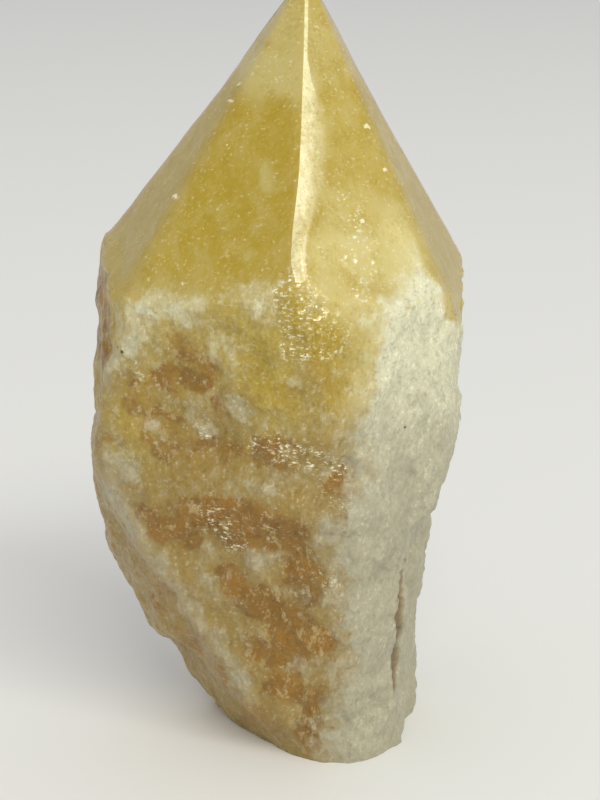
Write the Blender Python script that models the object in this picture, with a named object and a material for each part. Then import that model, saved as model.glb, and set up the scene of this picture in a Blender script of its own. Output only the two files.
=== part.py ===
"""Orange calcite point: one stone with a ground and polished six-sided tip on a rough broken body.

The rough stone is a loft through six edge lines, covered with lumps, flaked ledges and hollows. It is then
cut to shape: six flat faces that meet in the tip, a narrow worn strip along the front edge, and a sawn base.
Metres, +Z up, standing on the sawn base. The photographed face looks towards -Y.
"""

import math

import bmesh
import bpy
from mathutils import Vector, noise

MM = 0.001

# The ground tip. Each flat face passes through the tip and two neighbouring shoulders. In millimetres.
TIP = (4.8, 0.0, 132.6)
SHOULDERS = (
    (3.8, -27.0, 87.5),  # front
    (26.6, -15.2, 84.5),  # front right
    (32.3, 14.0, 84.0),  # back right
    (3.0, 29.0, 86.0),  # back
    (-31.6, 12.0, 86.0),  # back left
    (-23.9, -16.2, 84.0),  # front left
)
TIP_BLUNTED = 1.3 * MM  # height that is worn off the very point
GRIND_REACH = 1.45  # how far the flat faces go on past the shoulders, as a multiple of their length
# The worn strip along the front edge: how far down it is (1 at the shoulder), and how far it reaches
# into the left and into the right front face, in millimetres.
WORN_STRIP = (
    (0.00, 0.1, 0.2),
    (0.12, 0.2, 1.1),
    (0.30, 0.3, 2.1),
    (0.55, 0.5, 2.8),
    (0.72, 0.8, 2.2),
    (0.86, 1.3, 1.2),
    (1.00, 0.8, 0.8),
    (GRIND_REACH, 0.8, 0.8),
)

# The edge lines of the rough stone, anticlockwise seen from above: x and y at the heights in LEVELS, in
# millimetres. The top level lies above the tip, and the last lies below the base.
LEVELS = (140.0, 96.0, 86.0, 76.0, 65.0, 56.0, 46.0, 36.0, 26.0, 15.0, 6.0, -4.0)
EDGE_LINES = {
    "front": (
        (2.4, -26.0), (2.4, -26.6), (3.9, -27.4), (5.8, -27.6), (8.6, -26.8), (10.4, -25.8),
        (11.1, -24.4), (10.7, -23.0), (10.5, -21.5), (10.9, -19.2), (11.6, -17.0), (12.4, -15.6),
    ),
    "front right": (
        (25.4, -16.0), (25.8, -16.2), (27.2, -15.6), (29.6, -13.4), (28.8, -14.6), (28.0, -14.8),
        (25.4, -14.8), (21.8, -14.8), (21.0, -14.2), (20.4, -13.4), (19.6, -12.6), (17.6, -11.6),
    ),
    "back right": (
        (31.6, 14.6), (31.6, 14.8), (32.6, 14.8), (32.4, 14.6), (31.2, 13.4), (30.8, 12.4),
        (28.4, 11.4), (26.2, 11.0), (25.4, 11.0), (24.6, 11.4), (24.6, 11.4), (24.8, 11.4),
    ),
    "back": (
        (3.0, 28.8), (3.0, 29.4), (3.1, 30.2), (3.2, 31.2), (3.6, 31.0), (4.4, 30.4),
        (5.6, 29.6), (6.4, 28.8), (7.2, 27.8), (8.2, 26.4), (8.8, 25.4), (9.0, 24.6),
    ),
    "back left": (
        (-30.0, 12.0), (-29.4, 12.0), (-30.2, 12.6), (-30.5, 12.8), (-31.3, 12.6), (-31.7, 12.2),
        (-33.0, 11.2), (-32.4, 10.2), (-30.0, 9.6), (-22.6, 8.8), (-15.8, 8.0), (-9.4, 7.4),
    ),
    "front left": (
        (-23.0, -16.4), (-23.0, -16.6), (-24.4, -16.8), (-26.0, -15.8), (-28.6, -14.0), (-29.4, -13.2),
        (-27.0, -13.4), (-21.4, -13.8), (-15.3, -14.0), (-8.0, -14.2), (-1.6, -13.8), (3.8, -12.4),
    ),
}
SIDE_STEPS = (13, 16, 17, 19, 16, 21)  # mesh columns from each edge line to the next
LEVEL_STEPS = (1, 4, 4, 6, 5, 5, 5, 6, 6, 5, 4)  # mesh rows from each level to the next
SIDE_BULGES = (0.9, 0.6, 1.2, 1.2, 0.8, 0.9)  # how far the sides bulge between the edge lines, in millimetres
ROUNDING_PASSES = 4  # how much the broken edges are softened
ROUNDING = 0.5

# The relief that covers the rough stone: lumps, conchoidal scallops, flaked ledges and grit.
LUMP_SIZE, LUMP_HEIGHT = 17.0 * MM, 0.9 * MM
SCALLOP_SIZE, SCALLOP_DEPTH = 10.5 * MM, 1.0 * MM
FLAKE_SIZE, FLAKE_HEIGHT, FLAKE_STEPS = 7.5 * MM, 1.0 * MM, 3.0
GRIT_SIZE, GRIT_HEIGHT = 3.4 * MM, 0.45 * MM
RELIEF_FULL_BELOW, RELIEF_LOW_ABOVE = 76.0 * MM, 86.0 * MM  # the relief is lower where the tip is ground
RELIEF_LOW = 0.45
NOISE_SEED = Vector((3.7, 1.9, 8.3))

# Single lumps (raised) and hollows (sunk) that show from a step away: the two ends of a line, the reach
# around that line and the height, in millimetres.
FORMS = {
    "left shoulder lump": ((-30.0, 2.0, 79.0), (-31.0, 6.0, 75.0), 5.0, 0.4),
    "left side notch": ((-33.0, 0.0, 60.5), (-33.0, 12.0, 59.0), 4.0, -1.3),
    "left side lump": ((-33.0, 0.0, 51.5), (-33.5, 10.0, 50.0), 5.5, 0.9),
    "left foot ledge": ((-22.5, 2.0, 17.5), (-20.5, -8.0, 16.0), 3.5, 1.5),
    "left foot hollow": ((-17.5, 3.0, 12.0), (-15.0, -8.0, 10.5), 4.0, -1.3),
    "front band": ((-19.0, -17.5, 50.5), (3.0, -24.5, 48.0), 4.0, 1.1),
    "front basin": ((-12.0, -18.5, 38.0), (4.0, -22.5, 36.0), 8.0, -1.2),
    "upper basin": ((-16.0, -20.0, 68.0), (-8.0, -21.0, 62.0), 8.0, -0.9),
    "front notch": ((11.0, -25.0, 57.5), (6.5, -24.5, 51.5), 3.2, -1.5),
    "white flake": ((14.0, -24.0, 46.0), (19.0, -20.0, 44.0), 4.5, 0.9),
    "right groove": ((24.5, -4.0, 37.0), (22.5, -3.5, 14.0), 5.5, -3.6),
    "right lobe": ((27.5, 7.0, 31.0), (27.0, 6.5, 27.0), 5.0, 1.2),
    "right foot bulge": ((22.0, -6.5, 2.0), (24.0, -1.0, 7.0), 4.5, 1.2),
    "right pinch": ((30.0, 2.0, 40.0), (28.5, 2.0, 36.0), 5.0, -1.2),
    "back ledge": ((-22.0, 20.0, 58.0), (2.0, 29.0, 52.0), 5.0, 1.6),
    "back hollow": ((-14.0, 21.5, 42.0), (4.0, 28.0, 40.0), 8.0, -2.0),
    "back right lump": ((20.0, 20.0, 66.0), (18.0, 20.0, 54.0), 7.0, 1.4),
    "back foot hollow": ((18.0, 18.0, 26.0), (17.0, 17.5, 14.0), 6.0, -1.6),
}

HONEY = (0.58, 0.40, 0.11, 1.0)
ROUGHNESS = 0.35


def curve_through(points, step, share):
    """A point of the Catmull-Rom curve through the points, the share of the way from point step to the next."""
    last = len(points) - 1
    a, b, c, d = (points[min(max(step + k, 0), last)] for k in (-1, 0, 1, 2))
    return 0.5 * (
        2 * b
        + (c - a) * share
        + (2 * a - 5 * b + 4 * c - d) * share**2
        + (3 * b - a - 3 * c + d) * share**3
    )


def ring_through(corners):
    """The corners joined by slightly bulging sides, with each side divided into its mesh columns."""
    ring = []
    for k, (steps, bulge) in enumerate(zip(SIDE_STEPS, SIDE_BULGES)):
        start, end = corners[k], corners[(k + 1) % len(corners)]
        outward = (end - start).cross(Vector((0, 0, 1))).normalized() * bulge * MM
        for step in range(steps):
            share = step / steps
            ring.append(start.lerp(end, share) + outward * 4 * share * (1 - share))
    return ring


def rough_rings():
    """The rings of points of the rough stone, from above the tip to below the base."""
    lines = [[Vector((x, y, z)) * MM for (x, y), z in zip(line, LEVELS)] for line in EDGE_LINES.values()]
    rings = [ring_through([line[0] for line in lines])]
    for level, steps in enumerate(LEVEL_STEPS):
        for row in range(1, steps + 1):
            if level == 0:
                corners = [line[0].lerp(line[1], row / steps) for line in lines]
            else:
                corners = [curve_through(line[1:], level - 1, row / steps) for line in lines]
            rings.append(ring_through(corners))
    return rings


def skin(rings):
    """A closed mesh over the rings."""
    mesh = bmesh.new()
    rows = [[mesh.verts.new(point) for point in ring] for ring in rings]
    columns = len(rings[0])
    for upper, lower in zip(rows, rows[1:]):
        for k in range(columns):
            following = (k + 1) % columns
            mesh.faces.new((upper[k], lower[k], lower[following], upper[following]))
    mesh.faces.new(rows[0])
    mesh.faces.new(reversed(rows[-1]))
    return mesh


def smooth_step(low, high, value):
    share = min(max((value - low) / (high - low), 0.0), 1.0)
    return share * share * (3 - 2 * share)


def stepped(value, steps):
    """A value drawn towards a few levels, so that slopes become ledges with short risers."""
    scaled = value * steps
    level = math.floor(scaled)
    return (level + smooth_step(0.25, 0.75, scaled - level)) / steps


def scallops(place):
    """Shallow bowls with sharp rims between them, from -1 at the middle of a bowl to 0 at its rim."""
    near, second = noise.voronoi(place)[0][:2]
    return -min(1.0, max(0.0, second - near) * 1.6)


def stone_relief(point):
    """The height of the broken surface at a point, from lumps, scallops, flaked ledges and grit."""
    place = point + NOISE_SEED
    lumps = noise.noise(place / LUMP_SIZE) * LUMP_HEIGHT
    bowls = (scallops(place / SCALLOP_SIZE) + 0.5) * SCALLOP_DEPTH
    flakes = stepped(noise.noise(place / FLAKE_SIZE), FLAKE_STEPS) * FLAKE_HEIGHT
    grit = noise.noise(place / GRIT_SIZE) * GRIT_HEIGHT
    return lumps + bowls + flakes + grit


def form_height(point):
    """The height that the single lumps and hollows add at a point."""
    height = 0.0
    for start, end, reach, rise in FORMS.values():
        start, end = Vector(start) * MM, Vector(end) * MM
        along = end - start
        share = min(max((point - start).dot(along) / along.length_squared, 0.0), 1.0)
        near = (point - start - along * share).length / (reach * MM)
        height += rise * MM * math.exp(-near * near)
    return height


def break_surface(mesh):
    """Softens the edges of the rough stone and moves its surface by the relief and the single forms."""
    for _ in range(ROUNDING_PASSES):
        bmesh.ops.smooth_vert(mesh, verts=mesh.verts, factor=ROUNDING, use_axis_x=True, use_axis_y=True)
    mesh.normal_update()
    moves = []
    for vert in mesh.verts:
        fade = smooth_step(RELIEF_LOW_ABOVE, RELIEF_FULL_BELOW, vert.co.z)
        height = stone_relief(vert.co) * (RELIEF_LOW + (1 - RELIEF_LOW) * fade) + form_height(vert.co)
        moves.append((vert, vert.normal * height))
    for vert, move in moves:
        vert.co += move


def grinding_shape():
    """The shape that the stone is cut to: the ground tip, going on past the shoulders, down to the base."""
    tip = Vector(TIP) * MM
    shoulders = [Vector(point) * MM for point in SHOULDERS]
    blunt = TIP_BLUNTED / (tip.z - shoulders[0].z)
    mesh = bmesh.new()
    rows = []
    for share, left_reach, right_reach in WORN_STRIP:
        share = max(share, blunt)
        corners = [tip.lerp(shoulder, share) for shoulder in shoulders]
        front, right, left = corners[0], corners[1], corners[-1]
        strip_left = front + (left - front).normalized() * left_reach * MM
        strip_right = front + (right - front).normalized() * right_reach * MM
        rows.append([mesh.verts.new(point) for point in (strip_left, strip_right, *corners[1:])])
    foot = [Vector((vert.co.x, vert.co.y, 0.0)) for vert in rows[-1]]
    rows.append([mesh.verts.new(point) for point in foot])
    columns = len(rows[0])
    for upper, lower in zip(rows, rows[1:]):
        for k in range(columns):
            following = (k + 1) % columns
            mesh.faces.new((upper[k], lower[k], lower[following], upper[following]))
    mesh.faces.new(rows[0])
    mesh.faces.new(reversed(rows[-1]))
    return mesh


def new_object(name, mesh):
    bmesh.ops.triangulate(mesh, faces=mesh.faces)
    bmesh.ops.recalc_face_normals(mesh, faces=mesh.faces)
    data = bpy.data.meshes.new(name)
    mesh.to_mesh(data)
    mesh.free()
    made = bpy.data.objects.new(name, data)
    bpy.context.scene.collection.objects.link(made)
    return made


def common_part(first, second, name):
    """The part of space that both objects fill, as one new object in place of the two."""
    cut = first.modifiers.new("cut", "BOOLEAN")
    cut.operation = "INTERSECT"
    cut.solver = "EXACT"
    cut.object = second
    bpy.context.view_layer.update()
    evaluated = first.evaluated_get(bpy.context.evaluated_depsgraph_get())
    mesh = bmesh.new()
    mesh.from_mesh(evaluated.to_mesh())
    evaluated.to_mesh_clear()
    bpy.data.objects.remove(first)
    bpy.data.objects.remove(second)
    return new_object(name, mesh)


def stand_on_origin(stone):
    """Puts the middle of the stone's outer box over the origin, with the sawn base at height 0."""
    points = [vert.co for vert in stone.data.vertices]
    middle = [(min(p[axis] for p in points) + max(p[axis] for p in points)) / 2 for axis in (0, 1)]
    for vert in stone.data.vertices:
        vert.co.x -= middle[0]
        vert.co.y -= middle[1]


def calcite_material():
    material = bpy.data.materials.new("honey calcite")
    material.use_nodes = True
    shader = material.node_tree.nodes["Principled BSDF"]
    shader.inputs["Base Color"].default_value = HONEY
    shader.inputs["Roughness"].default_value = ROUGHNESS
    shader.inputs["Metallic"].default_value = 0.0
    return material


def calcite_point():
    rough = skin(rough_rings())
    break_surface(rough)
    stone = common_part(new_object("rough stone", rough), new_object("ground shape", grinding_shape()), "calcite_point")
    stand_on_origin(stone)
    stone.data.materials.append(calcite_material())
    return stone


for leftover in list(bpy.data.objects):
    bpy.data.objects.remove(leftover)
calcite_point()
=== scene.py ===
"""The looks of the orange calcite point: polished tip, sugary broken sides, floor, light and camera."""

import math

import bmesh
import bpy
import numpy as np
from bpy.props import FloatProperty, FloatVectorProperty, IntProperty, PointerProperty
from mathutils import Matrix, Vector, bvhtree, geometry, kdtree, noise


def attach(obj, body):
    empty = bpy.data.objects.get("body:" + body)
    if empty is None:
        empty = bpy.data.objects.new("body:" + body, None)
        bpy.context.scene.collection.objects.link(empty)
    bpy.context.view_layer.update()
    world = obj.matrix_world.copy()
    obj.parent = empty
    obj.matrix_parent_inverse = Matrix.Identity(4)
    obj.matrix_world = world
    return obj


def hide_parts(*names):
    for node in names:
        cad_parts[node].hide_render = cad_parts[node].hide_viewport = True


bl_info = {
    "name": "Orange Calcite Point",
    "version": (1, 0, 0),
    "blender": (4, 5, 0),
    "location": "3D View > Sidebar > Calcite",
    "description": "Dresses the solid calcite point with its ground tip, white crust and honey windows",
    "category": "Object",
}

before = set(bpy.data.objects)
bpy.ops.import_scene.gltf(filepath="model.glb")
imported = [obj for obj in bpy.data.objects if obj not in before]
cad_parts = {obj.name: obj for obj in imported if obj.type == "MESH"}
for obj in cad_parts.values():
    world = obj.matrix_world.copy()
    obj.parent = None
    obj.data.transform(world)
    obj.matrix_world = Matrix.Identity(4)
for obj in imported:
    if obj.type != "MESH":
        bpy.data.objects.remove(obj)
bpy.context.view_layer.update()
NODE = "calcite_point"
MM = 0.001

# The parts of the stone's surface. The six ground faces count on from the first one.
BROKEN, FIRST_GROUND, STRIP, BASE = 0, 1, 7, 8
# Heights in millimetres: nothing is ground below the first, all between the ground faces is worn above the
# second, and the narrow lower end of the worn strip, this wide to each side, reaches down to the third.
GROUND_FROM, WORN_FROM, STRIP_END = 74.0, 91.5, 86.5
STRIP_END_REACH = 2.5
STRIP_CUTS = 7
# How far the worn strip stands out in its middle, as a share of its width.
STRIP_SWELL = 0.018
# How far the worn strip reaches left and right of the front edge, at distances down that edge, in millimetres.
STRIP_REACH = (
    (0.0, 0.12, 0.25), (15.0, 0.15, 0.4), (19.0, 0.2, 1.2), (22.0, 0.25, 2.5), (27.0, 0.3, 3.3),
    (34.0, 0.5, 3.1), (37.0, 0.7, 2.7), (41.0, 1.1, 1.9), (44.0, 1.4, 0.9), (48.0, 1.6, 0.3),
    (54.0, 1.3, 0.2),
)
# How far the worn colour and its painted highlight fade out over the right front face, in millimetres.
WEAR_AND_HIGHLIGHT_FADE = 1.5
# Distance between the points of the base, in millimetres.
BASE_SPACING = 2.5
# The rounded corners under the ground faces: how far each reaches, in millimetres, and how often it is evened.
SHOULDER_REACH, SHOULDER_ROUNDS = 4.5, 12
# Sizes of the two kinds of crystal grains, in millimetres.
LARGE_GRAIN, SMALL_GRAIN = 3.1, 1.5
# Lumps of the broken sides: height and size in millimetres, and the number that moves the noise.
LUMPS = ((0.28, 3.2, 1.0), (0.14, 1.5, 6.0))
# Steps between grains, the crust's own height and lumps, and the depths of windows and cracks, in millimetres.
GRAIN_STEP = 0.13
CRUST_HEIGHT, CRUST_LUMPS = 0.16, 0.38
WINDOW_DEPTH, CRACK_DEPTH = 0.1, 0.8
MARK_NAMES = ("ground", "crust", "deep", "glint", "milk", "fleck", "tone", "haze", "pale", "crack")

# Where the photographed side is seen from, in the stone's own frame.
VIEW_AIM = Vector((4.17, -1.68, 60.5)) * MM
VIEW_ELEVATION = math.radians(16.0)
VIEW_DISTANCE = 330.0 * MM
VIEW_FORWARD = Vector((0.0, math.cos(VIEW_ELEVATION), -math.sin(VIEW_ELEVATION)))
VIEW_UPWARD = Vector((0.0, math.sin(VIEW_ELEVATION), math.cos(VIEW_ELEVATION)))
VIEW_EYE = VIEW_AIM - VIEW_FORWARD * VIEW_DISTANCE

# The point where the ground faces meet, and the shoulders at the lower ends of its edges, in millimetres.
TIP = Vector((5.17, -1.68, 132.6))
SHOULDERS = (
    Vector((4.17, -28.68, 87.5)),
    Vector((26.97, -16.88, 84.5)),
    Vector((32.67, 12.32, 84.0)),
    Vector((3.37, 27.32, 86.0)),
    Vector((-31.23, 10.32, 86.0)),
    Vector((-23.53, -17.88, 84.0)),
)

# Starts the noise that wavers the marks' outlines, so that each run gives the same stone.
NOISE_SEED = 3

# Marks on the photographed side. Each is a stroke: across and up to its two ends, its half width, all in
# millimetres from the middle of that view, and its strength.
WHITE_CRUST = (
    # left shoulder band
    (-28.5, 14, -18, 15, 3, 1),
    (-26, 17.5, -14.5, 17.5, 1.5, 0.8),
    (-29.5, 12, -31, 5.5, 2.4, 1),
    (-26, 8.5, -25, 7, 1.5, 0.6),
    # tongue under the left front face
    (-19, 15.5, -10.5, 18.5, 1.5, 0.6),
    (-10.5, 19, -3.5, 20, 1.5, 0.8),
    (-6.5, 17, -5, 14, 2.25, 0.85),
    (-9.5, 17, -6.5, 15, 1.5, 0.7),
    # upper flakes
    (-15, 13.5, -14, 8.5, 1.5, 0.6),
    (-11.5, 9.5, -11.5, 5, 1.25, 0.7),
    (-21, 0.5, -17, -1, 1.25, 0.6),
    (-19, -2.5, -16.5, -3.5, 1.5, 0.7),
    (-11, 0, -9.5, -3, 1.5, 0.9),
    (-16.5, -5, -13.5, -5, 1.5, 0.9),
    (-16, 0.5, -13.5, 1.5, 1, 0.6),
    (-25.5, -5.5, -24.5, -7, 1, 0.7),
    # left patches
    (-32.5, -9.5, -29, -11.5, 2.25, 0.95),
    (-33.5, 0, -33, -2, 1.5, 0.7),
    (-33.5, -15.5, -31, -19, 1.75, 0.6),
    # middle band and veil
    (-23.5, -16, -14.5, -15, 1.25, 0.45),
    (-11, -15.5, -3.5, -14.5, 2, 0.8),
    (-2.5, -14, 5, -12, 1.75, 0.4),
    (-4.5, -4.5, 8, -2.5, 3.75, 0.35),
    (5, -9.5, 8, -10.5, 2, 0.5),
    # lobes of the right crust
    (5, -22.5, 8, -25, 3, 1),
    (5, -33, 8, -32, 2.5, 0.7),
    # lower flakes
    (-8, -28, -4, -27, 1.75, 0.9),
    (-17, -29.5, -14.5, -33, 2, 0.7),
    (-16.5, -25, -18, -26, 1.5, 0.5),
    (-22, -24, -21, -26, 1.25, 0.5),
    (-5.5, -33, 1, -33, 1.5, 0.6),
    (-9, -39.5, -7.5, -40.5, 1.25, 0.8),
    (-14.5, -39.5, -12.5, -43, 1.5, 0.5),
    (0, -45, 1, -47, 1.5, 0.9),
    (3.5, -44, 4, -45.5, 1, 0.7),
    (3, -34.5, 3.5, -36, 1, 0.6),
    (-1, -58.5, 0, -59, 1.5, 0.7),
    (-5, -51.5, -4, -54, 1.25, 0.5),
    # broken ridge down the left foot
    (-32.5, -14.5, -30.5, -18.5, 1.4, 0.85),
    (-30.5, -18.5, -26, -25.5, 1.4, 0.9),
    (-26, -25.5, -19, -35.5, 1.3, 0.75),
    (-19, -35.5, -13.5, -44, 1.3, 0.8),
    (-13.5, -44, -8.5, -51, 1.1, 0.9),
)
DEEP_WINDOWS = (
    # under the shoulder
    (-22.5, 10, -18, 8.5, 2, 0.7),
    (-23.5, 4.5, -16.5, 3.5, 2.5, 0.9),
    (-16.5, 7, -14.5, 5, 1.75, 0.8),
    (-30, 2.5, -26, -2.5, 2.75, 0.55),
    (-26, -2.5, -20.5, -4.5, 1.75, 0.5),
    (-14.5, -1, -12.5, -2.5, 1.5, 0.8),
    # middle
    (-33.5, -7, -19, -7, 1, 0.6),
    (-23.5, -8.5, -1.5, -8.5, 2.25, 0.6),
    (-8, -10.5, -1.5, -11.5, 1.75, 0.6),
    (4, -15.5, 9, -12, 1.5, 0.75),
    # lower front
    (-26.5, -20, -20, -23.5, 2.75, 0.85),
    (-19, -19, -10.5, -20.5, 2.75, 0.9),
    (-9.5, -20, -1.5, -23.5, 3, 1),
    (-14, -22.5, -7, -24, 2.4, 0.7),
    (-1, -25, 1.5, -32, 3.1, 1),
    (-12, -30, -6.5, -36, 2.5, 0.85),
    (-6.5, -34.5, 0, -41.5, 3, 1),
    (-8, -43, 0, -44, 2.5, 0.8),
    (0, -37, 4.5, -43, 2.25, 0.85),
    (-4.5, -48.5, 0, -50, 2.25, 0.9),
    (3.5, -50, 1, -59.5, 1.75, 0.8),
    (-8, -54, -2.5, -58, 2, 0.6),
    # left foot
    (-29.5, -25, -21.5, -36, 2.75, 0.4),
    (-21.5, -36, -12, -50, 2.5, 0.45),
    (-23.5, -33, -23, -34, 1, 0.7),
    (-19.5, -40.5, -18.5, -42, 1, 0.7),
    (-14, -47, -12.5, -49, 1.25, 0.7),
    # left edge under the shoulder
    (-34.6, 23, -34.2, 8.5, 1.9, 1),
)
# Thin brown cracks and the groove beside the right foot. Their widths are those on the stone itself.
CRACKS = (
    (18, -26, 16, -52, 1.4, 0.9),
    (12.5, -7.8, 9.5, -8.8, 0.5, 0.3),
    (9.5, -8.8, 7.6, -12, 0.6, 0.45),
    (19.5, -15, 15.5, -16.5, 0.5, 0.25),
    (7, -22, 8.6, -19.5, 0.5, 0.3),
)
# The distance between the points of a crack's line, in millimetres, and how many of them to each side it is
# evened over.
CRACK_SPACING, CRACK_EASE = 0.4, 8
# Where the crystals glint.
GLINTING = (
    (-1.5, 20.5, 0, 9.5, 3.5, 1),
    (0, 17, 4.5, 9.5, 3, 1),
    (8.5, 34.5, 11, 19, 3, 0.8),
    (6, 15.5, 8.5, 3.5, 2.5, 0.4),
    (12.5, 28, 12, 13, 2.2, 0.45),
    (-6.5, -7, 6, -12, 2, 0.8),
    (-17, -4.5, -15.5, -6, 1.5, 0.9),
    (-16, -19.5, -10.5, -24, 2.25, 0.9),
    (-6, -20, -4.5, -22.5, 1.5, 0.6),
    (4.5, -15.5, 8, -18, 1.75, 0.7),
    (-28.5, 5, -26.5, 3, 1.5, 0.6),
    (9.5, -40, 11.5, -41, 1.25, 0.9),
    (2.5, -30, 7, -33, 1.5, 0.6),
)
MILKY_CLOUDS = (
    # under the tip
    (-6.5, 57, 0, 56, 4.25, 1),
    (-2.5, 65.5, 1, 62, 5.25, 0.8),
    (3.5, 64, 6, 57, 3.5, 0.6),
    # small clouds in the two front faces
    (-6.5, 40.5, -5, 37, 1.5, 0.5),
    (-14, 33, -13, 29.5, 1, 0.4),
    (-12, 25.5, -9, 25, 1.25, 0.4),
    (3.5, 38, 4.5, 34.5, 1.5, 0.5),
    (6, 30, 11, 26.5, 2.5, 0.5),
    (17, 32, 20, 24, 2.75, 0.7),
    (13, 45, 16.5, 38, 1.5, 0.4),
)
# Where the stone turns pale and cloudy towards the crust of the right side.
PALE_ZONES = (
    (6, 48, 11, 34, 6, 0.22),
    (9, 33, 17, 28, 5, 0.5),
    (5, 25.5, 18, 23.5, 4.5, 0.75),
    (16.5, 27.5, 22, 18, 4.5, 0.8),
    (3.5, 20, 13, 14, 3.75, 0.65),
    (12, 12, 12.5, 4, 3.25, 0.4),
    (15.5, 16, 11, -2, 3.5, 0.4),
    # broken ridge down the left foot
    (-33, -13.5, -30.5, -18.5, 1.5, 0.5),
    (-30.5, -18.5, -26, -25.5, 1.5, 0.6),
    (-26, -25.5, -19, -35.5, 1.3, 0.5),
    (-19, -35.5, -13.5, -44, 1.4, 0.5),
    (-13.5, -44, -8, -51.5, 1.2, 0.6),
)
# Where the left edge under its shoulder swells and the right one hollows, their strengths in millimetres.
OUTER_SWELLS = (
    (-34.4, 26, -34.6, 19, 2.6, 0.8),
)
OUTER_HOLLOWS = (
    (28.4, 14, 28.2, 5, 3.2, 0.9),
)
# Bare stone beside the crust, at both outer edges under the shoulders.
BARE_EDGES = (
    (26.4, 28.5, 27.8, 15.5, 2.1, 1),
    (-34.8, 23.5, -34.4, 8.5, 1.6, 1),
)
# Specks of dark dirt: across, up, radius, strength. Their outlines waver by up to this much, in millimetres.
DIRT_WANDER = 0.4
DIRT = (
    (-30.7, 8.3, 0.32, 0.9), (-31.4, 9.1, 0.2, 0.8), (18.1, -4.7, 0.24, 0.9), (-25.5, 36.2, 0.3, 0.35),
    (-24.5, 38.2, 0.25, 0.3),
)
# White flecks in the polished faces: across, up, half width.
FLECKS = (
    (7.5, 56, 0.5), (11.5, 47, 0.7), (14.5, 39.5, 0.5), (-21.5, 35, 0.7), (-12, 51.5, 0.5),
    (-10.5, 54.5, 0.4), (-13, 44, 0.4), (7.5, 29, 0.5), (10.5, 30.5, 0.5), (8, 24.5, 0.5),
    (9.5, 24, 0.5), (12, 27.5, 0.4), (12.5, 24, 0.4), (-26, 20.5, 0.4), (-20.5, 20, 0.5),
)
# The left border of the crust that covers the right side: up, across.
RIGHT_CRUST_BORDER = (
    (-63, 3), (-58.5, 3.5), (-48.5, 6), (-38, 7), (-27.5, 4.5), (-19, 6),
    (-12, 9), (-3.5, 9), (8.5, 11), (17, 13.5), (22.5, 16.5), (28.5, 20.5),
)


# Colours that the stone's own ones are mixed with.
LOW_VEIL = (0.38, 0.315, 0.175)
LOW_PALE = (0.5, 0.43, 0.26)
SHADE = (0.29, 0.195, 0.022)
# painted shade in small hollows
PIT_SHADE = (0.05, 0.025, 0.003)
# painted glint colour, also the colour of the white flecks
PAINTED_GLINT_AND_FLECK = (0.98, 0.94, 0.72)
# pale colour of the worn strip, partly real wear and partly a painted highlight
WORN_HIGHLIGHT = (0.96, 0.93, 0.62)
SOIL = (0.03, 0.025, 0.018)
CLEAR_CRACK = (0.13, 0.08, 0.035)
CRUST_CRACK = (0.2, 0.14, 0.08)

# The key light: where it is, by azimuth and elevation in degrees and by distance in metres, its width and
# height in metres, and its colour.
KEY_DIRECTION, KEY_DISTANCE = (25, 41), 2.4
KEY_SIZE = (2.0, 0.6)
KEY_COLOUR = (1.0, 0.99, 0.88)
FLOOR_COLOUR, FLOOR_ROUGHNESS = (0.86, 0.86, 0.85, 1.0), 0.7
# How far the floor lies under the stone's base, so that they don't share a plane.
FLOOR_GAP = 0.02 * MM


def colour_setting(name, description, default):
    return FloatVectorProperty(
        name=name, description=description, subtype="COLOR", size=3, min=0, max=1, default=default,
    )


def share_setting(name, description, most, default):
    return FloatProperty(
        name=name, description=description, subtype="FACTOR", min=0, max=most, default=default,
    )


def length_setting(name, description, least, default):
    return FloatProperty(
        name=name, description=description, subtype="DISTANCE", unit="LENGTH", min=least, default=default,
    )


class CalciteSettings(bpy.types.PropertyGroup):
    """Colours and finishes of the stone."""

    honey: colour_setting("Honey", "Colour of the clear honey stone in the ground faces", (0.43, 0.305, 0.016))
    body: colour_setting("Body", "Colour of the honey stone in the broken sides", (0.325, 0.21, 0.034))
    amber: colour_setting("Amber", "Colour of the clear windows of the broken sides", (0.29, 0.133, 0.0))
    milk: colour_setting("Milk", "Colour of the cloudy zones in the tip", (0.53, 0.44, 0.15))
    veil: colour_setting("Veil", "Colour of the thin cloudy wisps", (0.56, 0.48, 0.24))
    pale: colour_setting("Pale", "Colour of the pale stone beside the crust", (0.8, 0.72, 0.36))
    crust: colour_setting("Crust", "Colour of the white sugary crust", (0.76, 0.75, 0.55))
    polish: share_setting("Polish", "Roughness of the ground faces", 1, 0.17)
    glow_depth: length_setting("Glow depth", "How deep light wanders in the stone", 0, 5.0 * MM)
    grain: length_setting("Grain", "Height of the sugary grain on the broken sides", 0, 0.16 * MM)
    cuts: IntProperty(
        name="Cuts", description="New points along each edge of the broken sides", min=1, max=4, default=3,
    )
    fine: length_setting("Fine spacing", "Distance between the points of the ground faces", 0.2 * MM, 0.9 * MM)


class StageSettings(bpy.types.PropertyGroup):
    """Floor, light and camera."""

    floor_size: length_setting("Floor size", "Width of the floor", 0.5, 16.0)
    key_power: FloatProperty(
        name="Key light", description="Power of the wide soft light, high in front", subtype="POWER",
        unit="POWER", min=0, default=34.0,
    )
    room_light: share_setting("Room light", "Brightness of the pale room", 4, 0.6)
    lens: FloatProperty(
        name="Lens", description="Focal length of the camera", subtype="DISTANCE_CAMERA", unit="CAMERA", min=10,
        default=86.2,
    )


def opaque(colour):
    """A colour with full alpha. A shader's output stays as it is."""
    return colour if isinstance(colour, Shade) else (*colour, 1.0)


def tinted(colour, *shares):
    """A colour with each channel times its share."""
    return tuple(share * channel for share, channel in zip(shares, colour, strict=True))


def darker(colour, share):
    return tinted(colour, share, share, share)


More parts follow.
